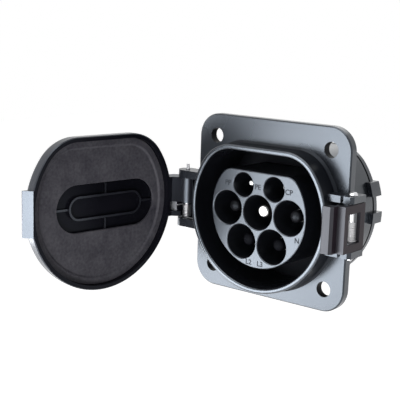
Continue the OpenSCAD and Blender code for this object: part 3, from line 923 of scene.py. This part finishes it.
def combined(tree: bpy.types.NodeTree, operation: str, first: Socket,
             second: Socket | float) -> Socket:
    """Adds a node that works a value out from two others.

    Args:
        tree: node tree to add to.
        operation: Blender's name of the operation.
        first: socket of one value.
        second: socket of the other, or a uniform value.

    Returns:
        The result's socket.
    """
    made = tree.nodes.new("ShaderNodeMath")
    made.operation = operation
    tree.links.new(first, made.inputs[0])
    if isinstance(second, Socket):
        tree.links.new(second, made.inputs[1])
    else:
        made.inputs[1].default_value = second
    return made.outputs[0]


@dataclass
class Studio:
    """White floor and surroundings, and the soft light panels."""

    floor_size: float = 8.0
    floor_level: float = -0.55
    floor_colour: Colour = (0.9, 0.9, 0.9)
    floor_roughness: float = 0.9
    floor_glow: float = 0.65
    ambient: float = 0.35
    # Azimuth, elevation, distance, width, height, radiance and colour of each panel
    panels: tuple[Panel, ...] = (
        Panel("front_panel", -19.5, -8.5, 1.12, 0.57, 0.59, 10.0, COOL_LIGHT),
        Panel("low_panel", -45, -16.5, 1.15, 0.46, 0.36, 10.5, COOL_LIGHT),
        Panel("lid_panel", -74, -22, 1.15, 0.42, 0.50, 10.0, COOL_LIGHT),
        Panel("tab_panel", 22, -11.5, 1.0, 0.28, 0.28, 20.0, COOL_LIGHT),
        Panel("rim_panel", 37, -26, 1.0, 0.22, 0.22, 14.0, COOL_LIGHT),
        Panel("top_panel", -10, 62, 1.2, 1.2, 1.0, 2.6),
        Panel("right_panel", 142, -9, 1.3, 0.5, 0.5, 0.5, WARM_LIGHT),
        Panel("back_panel", 200, 30, 1.5, 1.0, 0.8, 1.0),
    )

    def build(self) -> None:
        """Builds floor, world and lights."""
        self.floor()
        self.world()
        for panel in self.panels:
            panel.build()

    def floor(self) -> None:
        """Adds the pale floor."""
        bpy.ops.object.select_all(action="DESELECT")
        bpy.ops.mesh.primitive_plane_add(size=self.floor_size, location=(0, 0, self.floor_level))
        floor = bpy.context.object
        floor.name = "floor"
        bpy.ops.object.transform_apply(location=True, rotation=True, scale=True)
        material = bpy.data.materials.new("floor_white")
        material.use_nodes = True
        tree = material.node_tree
        plain = tree.nodes["Principled BSDF"]
        plain.inputs["Base Color"].default_value = opaque(self.floor_colour)
        plain.inputs["Roughness"].default_value = self.floor_roughness
        plain.inputs["Emission Color"].default_value = opaque(WHITE)
        tree.links.new(self.seen_rays(tree, self.floor_glow), plain.inputs["Emission Strength"])
        floor.data.materials.append(material)

    @staticmethod
    def seen_rays(tree: bpy.types.NodeTree, level: float) -> Socket:
        """Value that is a level for camera, glossy and transmission rays, and 0 for others.

        Args:
            tree: node tree to add to.
            level: the value for those rays.

        Returns:
            The value's socket.
        """
        path = tree.nodes.new("ShaderNodeLightPath")
        total = path.outputs["Is Camera Ray"]
        for name in ("Is Glossy Ray", "Is Transmission Ray"):
            total = combined(tree, "MAXIMUM", total, path.outputs[name])
        return combined(tree, "MULTIPLY", total, level)

    def world(self) -> None:
        """Sets the white surroundings and their light."""
        world = bpy.data.worlds.new("studio")
        bpy.context.scene.world = world
        world.use_nodes = True
        tree = world.node_tree
        plain = tree.nodes["Background"]
        plain.inputs["Color"].default_value = opaque(WHITE)
        seen = self.seen_rays(tree, 1.0 - self.ambient)
        tree.links.new(combined(tree, "ADD", seen, self.ambient), plain.inputs["Strength"])


@dataclass
class ViewPoint:
    """Camera at the photograph's viewing angle."""

    azimuth: float = 38.616
    elevation: float = 11.04
    roll: float = 1.83
    distance: float = 476.534 * MM
    lens: float = 86.81
    sensor: float = 36.0
    target: tuple[float, float, float] = (-44.132 * MM, 0.0, -2.354 * MM)

    def build(self) -> None:
        """Adds the camera and makes it the scene's own."""
        data = bpy.data.cameras.new("camera")
        data.lens = self.lens
        data.sensor_width = self.sensor
        data.sensor_fit = "HORIZONTAL"
        camera = bpy.data.objects.new("camera", data)
        bpy.context.scene.collection.objects.link(camera)
        back = direction(self.azimuth, self.elevation)
        level = Vector((0, 0, 1)).cross(back).normalized()
        right = Matrix.Rotation(math.radians(self.roll), 3, back) @ level
        axes = Matrix((right, back.cross(right), back)).transposed()
        place = Vector(self.target) + back * self.distance
        camera.matrix_world = Matrix.Translation(place) @ axes.to_4x4()
        bpy.context.scene.camera = camera


def main() -> None:
    """Builds the inlet's pieces, the studio and the camera in order."""
    logging.basicConfig(level=logging.INFO, format="%(name)s: %(message)s")
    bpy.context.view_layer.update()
    shop = Workshop(Finishes())
    for group in (Housing(), Insert(), Rear(), Lid(), Latch(), Markings()):
        group.build(shop)
    Studio().build()
    ViewPoint().build()
    bpy.context.scene.view_settings.view_transform = "Standard"


if __name__ == "__main__":
    main()
